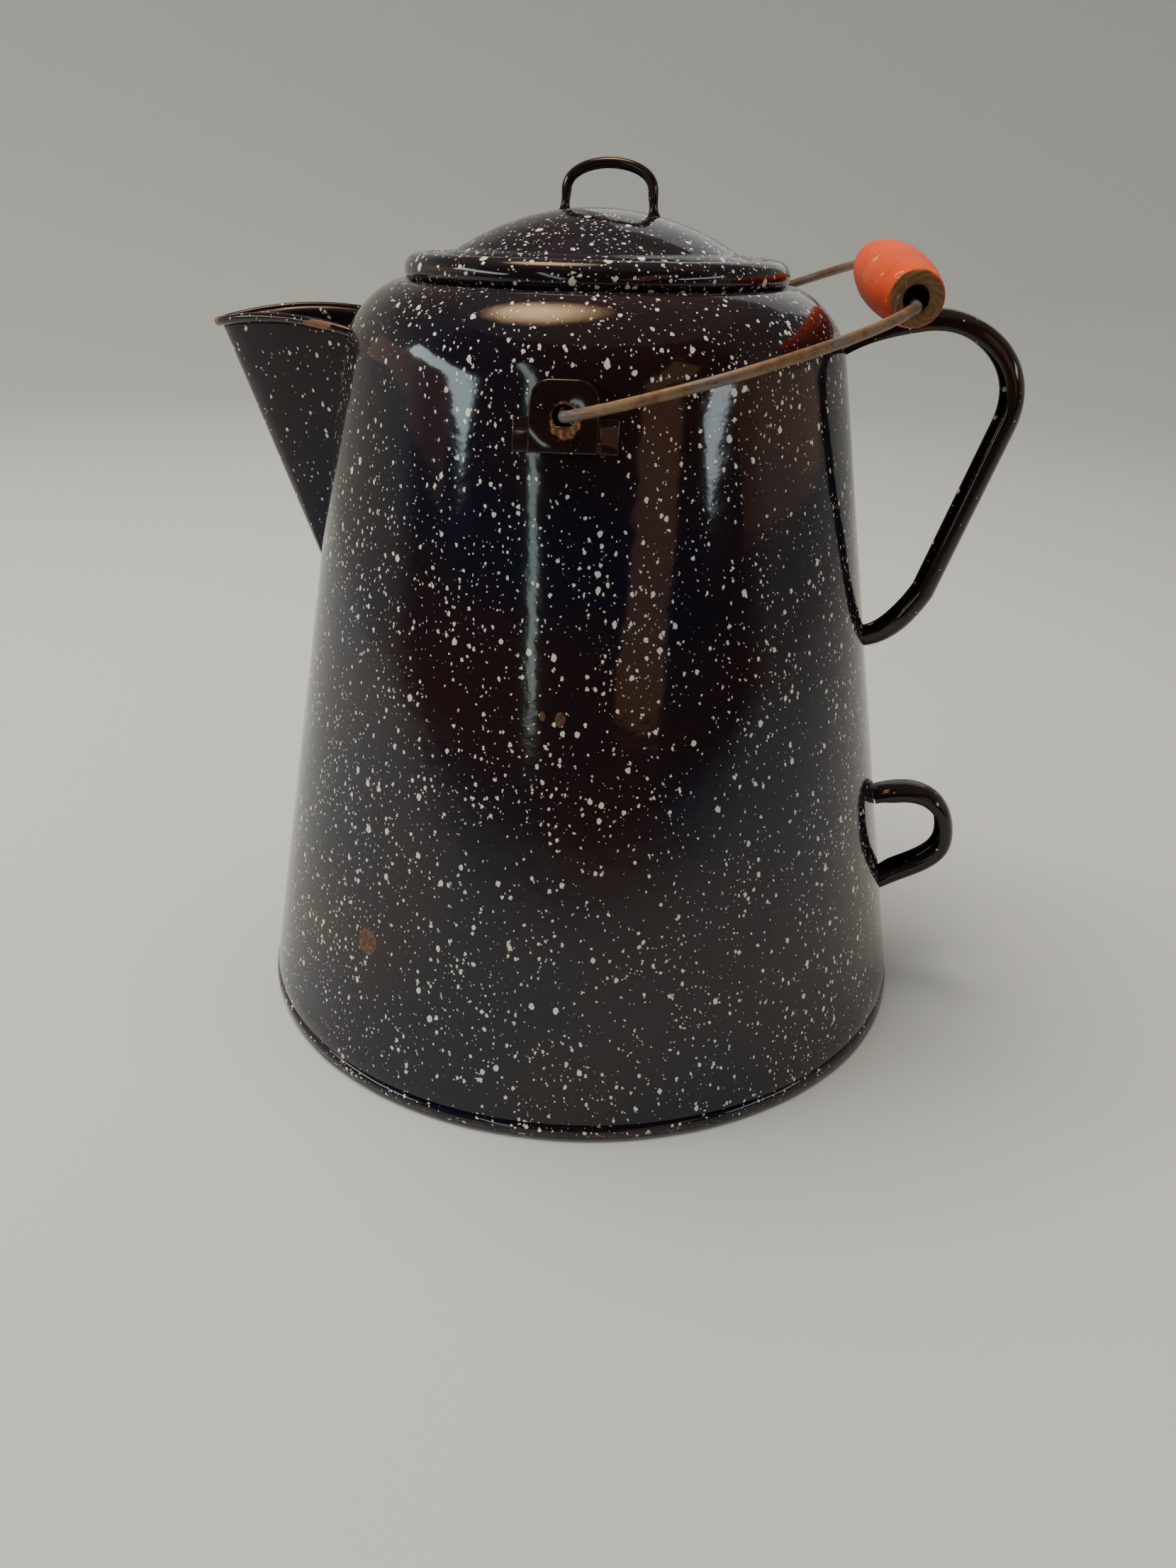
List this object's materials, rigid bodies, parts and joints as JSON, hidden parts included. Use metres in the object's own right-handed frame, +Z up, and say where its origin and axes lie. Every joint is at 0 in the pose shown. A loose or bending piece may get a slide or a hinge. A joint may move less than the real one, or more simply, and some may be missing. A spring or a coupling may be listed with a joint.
{
  "type": "coffee percolator",
  "caption": "Enamelled steel camp coffee percolator: tapered pot, V spout, channel handle, tilting handle, bail with wooden grip, domed lid and lift-out aluminium pump and basket.",
  "frame": {"origin": "on the pot's axis, in the plane that the bottom stands on", "axes": "+Z up, +X through the main handle, -X through the spout, -Y and +Y through the two bail ears"},
  "size_m": [0.2778, 0.2504, 0.2933],
  "materials": {
    "enamel": "glossy blue-black vitreous enamel with cream speckles",
    "wire_steel": "bare drawn wire, dulled tan-brown with age",
    "grip_wood": "turned hardwood in worn orange-red paint",
    "aluminium": "satin spun aluminium"
  },
  "bodies": {
    "pot": {"body_shell": "enamel", "bottom_pan": "enamel", "spout": "enamel", "main_handle": "enamel", "tilt_handle": "enamel", "bail_ear_near": "enamel", "bail_ear_far": "enamel"},
    "lid": {"lid_dome": "enamel", "lid_collar": "enamel", "lid_handle": "enamel"},
    "bail": {"bail_wire": "wire_steel"},
    "grip": {"bail_grip": "grip_wood"},
    "pump": {"pump_foot": "aluminium", "pump_tube": "aluminium", "basket_stop": "aluminium"},
    "basket": {"basket": "aluminium", "basket_sleeve": "aluminium"},
    "cover": {"basket_cover": "aluminium"}
  },
  "joints": [
    {"name": "lid_lift", "type": "slide", "parent": "pot", "child": "lid", "axis": [0, 0, 1], "range_m": [0, 0.42]},
    {"name": "pump_lift", "type": "slide", "parent": "pot", "child": "pump", "axis": [0, 0, 1], "range_m": [0, 0.262]},
    {"name": "basket_lift", "type": "slide", "parent": "pot", "child": "basket", "axis": [0, 0, 1], "range_m": [0, 0.361]},
    {"name": "cover_lift", "type": "slide", "parent": "pot", "child": "cover", "axis": [0, 0, 1], "range_m": [0, 0.391]},
    {"name": "bail_swing", "type": "hinge", "parent": "pot", "child": "bail", "pos_m": [0, 0, 0.226], "axis": [0, -1, 0], "range_deg": [0, 141]},
    {"name": "grip_spin", "type": "hinge", "parent": "bail", "child": "grip", "pos_m": [0.09713, 0, 0.25941], "axis": [-0.01, 0.9977, 0.0674], "continuous": true}
  ],
  "couplings": [
    {"joint": "pump_lift", "follows": "lid_lift", "ratio": 0.619},
    {"joint": "basket_lift", "follows": "lid_lift", "ratio": 0.857},
    {"joint": "cover_lift", "follows": "lid_lift", "ratio": 0.929}
  ]
}
